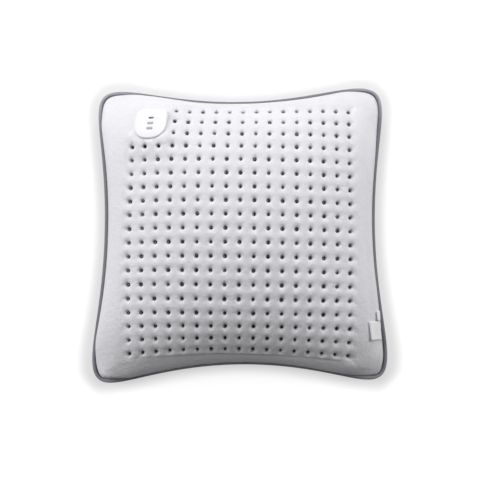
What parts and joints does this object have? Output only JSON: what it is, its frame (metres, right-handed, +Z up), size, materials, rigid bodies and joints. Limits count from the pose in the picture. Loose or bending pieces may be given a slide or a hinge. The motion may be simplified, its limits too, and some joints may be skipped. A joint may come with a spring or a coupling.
{
  "type": "heating cushion with control pod",
  "caption": "Stuffed square heating cushion with a tacked soft front, piped seam, two sewn-in labels and a small pod with push keys and an indicator window.",
  "frame": {"origin": "on the floor under the middle of the cushion, which lies on its back", "axes": "+X to the right and +Y towards the edge that the control pod is near, as in the picture; +Z up, out of the tacked front"},
  "size_m": [0.3998, 0.4104, 0.11],
  "materials": {
    "velour": "short soft pile",
    "piping_fabric": "close plain weave",
    "cord_yarn": "twisted yarn",
    "fibre": "loose fibre filling",
    "felt": "needled felt",
    "heat_wire": "silicone-covered heating wire",
    "lead_jacket": "smooth flexible jacket",
    "label_tape": "woven tape, blank",
    "pod_plastic": "white satin",
    "base_plastic": "pale grey moulding",
    "key_rubber": "grey soft-touch",
    "silicone": "translucent silicone",
    "smoked_lens": "smoked gloss",
    "board_green": "solder mask",
    "chip_black": "moulded package",
    "led_clear": "clear resin",
    "connector_white": "natural nylon",
    "steel": "plated steel"
  },
  "bodies": {
    "cushion": {"front_cover": "velour", "back_cover": "velour", "cushion_filling": "fibre", "piping_tape": "piping_fabric", "piping_cord": "cord_yarn", "heater_top_felt": "felt", "heater_bottom_felt": "felt", "heating_wire": "heat_wire", "feed_lead": "lead_jacket", "return_lead_lower": "lead_jacket", "return_lead_upper": "lead_jacket", "thermal_cutout": "steel", "pod_top_shell": "pod_plastic", "pod_base": "base_plastic", "clamp_ring": "base_plastic", "circuit_board": "board_green", "power_socket": "steel", "heater_connector": "connector_white", "control_chip": "chip_black", "led_window": "smoked_lens", "power_key_dome": "silicone", "left_led": "led_clear", "heat_key_dome": "silicone", "right_led": "led_clear", "pod_screw_1": "steel", "pod_screw_2": "steel", "pod_screw_3": "steel", "pod_screw_4": "steel"},
    "power_key": {"power_key": "key_rubber"},
    "heat_key": {"heat_key": "key_rubber"},
    "care_label": {"care_label": "label_tape"},
    "side_label": {"side_label": "label_tape"}
  },
  "joints": [
    {"name": "power_key_press", "type": "slide", "parent": "cushion", "child": "power_key", "axis": [0.1698, -0.3325, -0.9277], "range_m": [0, 0.0008], "stiffness_N_per_m": 1500, "deforming": ["power_key_dome"]},
    {"name": "heat_key_press", "type": "slide", "parent": "cushion", "child": "heat_key", "axis": [0.1698, -0.3325, -0.9277], "range_m": [0, 0.0008], "stiffness_N_per_m": 1500, "deforming": ["heat_key_dome"]},
    {"name": "care_label_flap", "type": "hinge", "parent": "cushion", "child": "care_label", "pos_m": [0.18866, -0.13379, 0.0429], "axis": [-0.1488, 0.9683, 0.2008], "range_deg": [0, 95]},
    {"name": "side_label_flap", "type": "hinge", "parent": "cushion", "child": "side_label", "pos_m": [0.18563, -0.11425, 0.04659], "axis": [-0.1425, 0.9811, 0.1312], "range_deg": [0, 95]}
  ]
}
